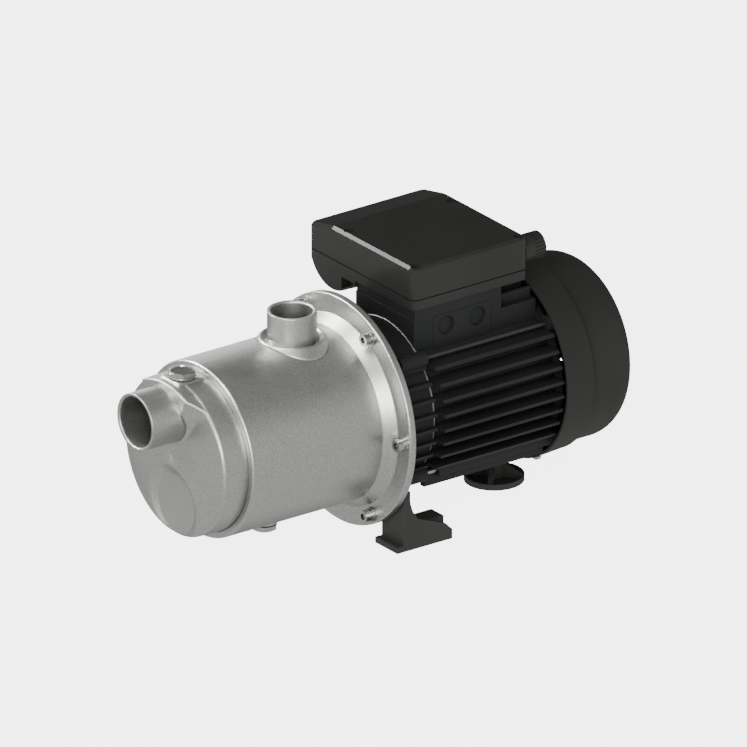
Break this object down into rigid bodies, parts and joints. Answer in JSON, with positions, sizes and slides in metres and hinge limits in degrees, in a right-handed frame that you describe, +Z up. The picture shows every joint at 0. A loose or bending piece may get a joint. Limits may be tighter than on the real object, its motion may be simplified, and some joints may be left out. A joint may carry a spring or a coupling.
{
  "type": "horizontal multistage pump",
  "caption": "Horizontal multistage centrifugal pump, close-coupled to a finned electric motor, with front suction, top discharge, terminal box and feet.",
  "frame": {"origin": "on the base plane, under the shaft axis, on the line through the two bolt holes of the front foot", "axes": "+X along the shaft from the suction port to the fan, +Z up along the discharge port, +Y to the far side where the capacitor trough is"},
  "size_m": [0.4355, 0.1925, 0.219],
  "materials": {
    "blasted_stainless": "bead-blasted stainless steel, satin",
    "plated_steel": "bright plated steel",
    "fibre_gasket": "pressed fibre sealing ring",
    "pressed_stainless": "pressed stainless sheet",
    "black_rubber": "moulded rubber",
    "seal_carbon": "carbon ring in its holder",
    "seal_ceramic": "polished ceramic ring",
    "ground_steel": "ground steel",
    "lamination_steel": "stacked steel laminations",
    "winding_copper": "varnished copper winding heads",
    "black_paint": "black paint on cast and extruded aluminium",
    "black_cover_plastic": "black moulded plastic, fine grain",
    "fan_plastic": "black moulded plastic",
    "box_plastic": "black moulded plastic, satin",
    "capacitor_can": "drawn aluminium can",
    "foot_plastic": "black moulded plastic, matt"
  },
  "bodies": {
    "housing": {"pump_casing": "blasted_stainless", "front_cover": "blasted_stainless", "suction_pipe": "blasted_stainless", "discharge_pipe": "blasted_stainless", "discharge_saddle": "blasted_stainless", "casing_cover": "pressed_stainless", "casing_o_ring": "black_rubber", "suction_plate": "pressed_stainless", "stage_spacer": "pressed_stainless", "seal_seat": "seal_ceramic", "front_bearing_outer": "ground_steel", "rear_bearing_outer": "ground_steel", "front_bracket": "black_paint", "motor_frame": "black_paint", "stator_core": "lamination_steel", "stator_windings": "winding_copper", "rear_end_shield": "black_paint", "preload_spring": "plated_steel", "tie_rods": "plated_steel", "fan_cover": "black_cover_plastic", "fan_cover_screws": "plated_steel", "terminal_box_base": "box_plastic", "terminal_box_lid": "box_plastic", "lid_gasket": "black_rubber", "lid_screws": "plated_steel", "terminal_board": "box_plastic", "capacitor": "capacitor_can", "gland_body": "box_plastic", "gland_nut": "box_plastic", "flange_screws": "plated_steel", "flange_washers": "plated_steel", "front_foot": "foot_plastic", "foot_screws": "plated_steel", "rear_foot": "foot_plastic", "rear_foot_screw": "plated_steel", "stage_casing_1": "pressed_stainless", "stage_casing_2": "pressed_stainless", "stage_casing_3": "pressed_stainless", "diffuser_1": "pressed_stainless", "diffuser_2": "pressed_stainless", "diffuser_3": "pressed_stainless"},
    "rotor": {"motor_shaft": "ground_steel", "impeller_key": "plated_steel", "shaft_nut": "plated_steel", "shaft_sleeve": "pressed_stainless", "seal_head": "seal_carbon", "splash_ring": "black_rubber", "front_bearing_inner": "ground_steel", "rear_bearing_inner": "ground_steel", "rotor_core": "lamination_steel", "cooling_fan": "fan_plastic", "impeller_1": "pressed_stainless", "impeller_2": "pressed_stainless", "impeller_3": "pressed_stainless"},
    "front_ball_cage": {"front_bearing_balls": "ground_steel"},
    "rear_ball_cage": {"rear_bearing_balls": "ground_steel"},
    "filling_gasket": {"filling_plug_gasket": "fibre_gasket"},
    "filling_plug": {"filling_plug": "plated_steel"},
    "drain_gasket": {"drain_plug_gasket": "fibre_gasket"},
    "drain_plug": {"drain_plug": "plated_steel"}
  },
  "joints": [
    {"name": "rotor_spin", "type": "hinge", "parent": "housing", "child": "rotor", "pos_m": [-0.027, 0, 0.098], "axis": [1, 0, 0], "continuous": true},
    {"name": "front_balls_spin", "type": "hinge", "parent": "housing", "child": "front_ball_cage", "pos_m": [0.01, 0, 0.098], "axis": [1, 0, 0], "continuous": true},
    {"name": "rear_balls_spin", "type": "hinge", "parent": "housing", "child": "rear_ball_cage", "pos_m": [0.129, 0, 0.098], "axis": [1, 0, 0], "continuous": true},
    {"name": "filling_gasket_lift", "type": "slide", "parent": "housing", "child": "filling_gasket", "axis": [0, 0, 1], "range_m": [0, 0.0175]},
    {"name": "filling_plug_turn", "type": "hinge", "parent": "filling_gasket", "child": "filling_plug", "pos_m": [-0.179, 0, 0.164], "axis": [0, 0, 1], "range_deg": [0, 4680]},
    {"name": "drain_gasket_drop", "type": "slide", "parent": "housing", "child": "drain_gasket", "axis": [0, 0, -1], "range_m": [0, 0.0125]},
    {"name": "drain_plug_turn", "type": "hinge", "parent": "drain_gasket", "child": "drain_plug", "pos_m": [-0.099, 0, 0.0205], "axis": [0, 0, -1], "range_deg": [0, 3240]}
  ],
  "couplings": [
    {"joint": "front_balls_spin", "follows": "rotor_spin", "ratio": 0.3815},
    {"joint": "rear_balls_spin", "follows": "rotor_spin", "ratio": 0.3817},
    {"joint": "filling_gasket_lift", "follows": "filling_plug_turn", "m_per_rad": 0.00021279},
    {"joint": "drain_gasket_drop", "follows": "drain_plug_turn", "m_per_rad": 0.00021279}
  ]
}
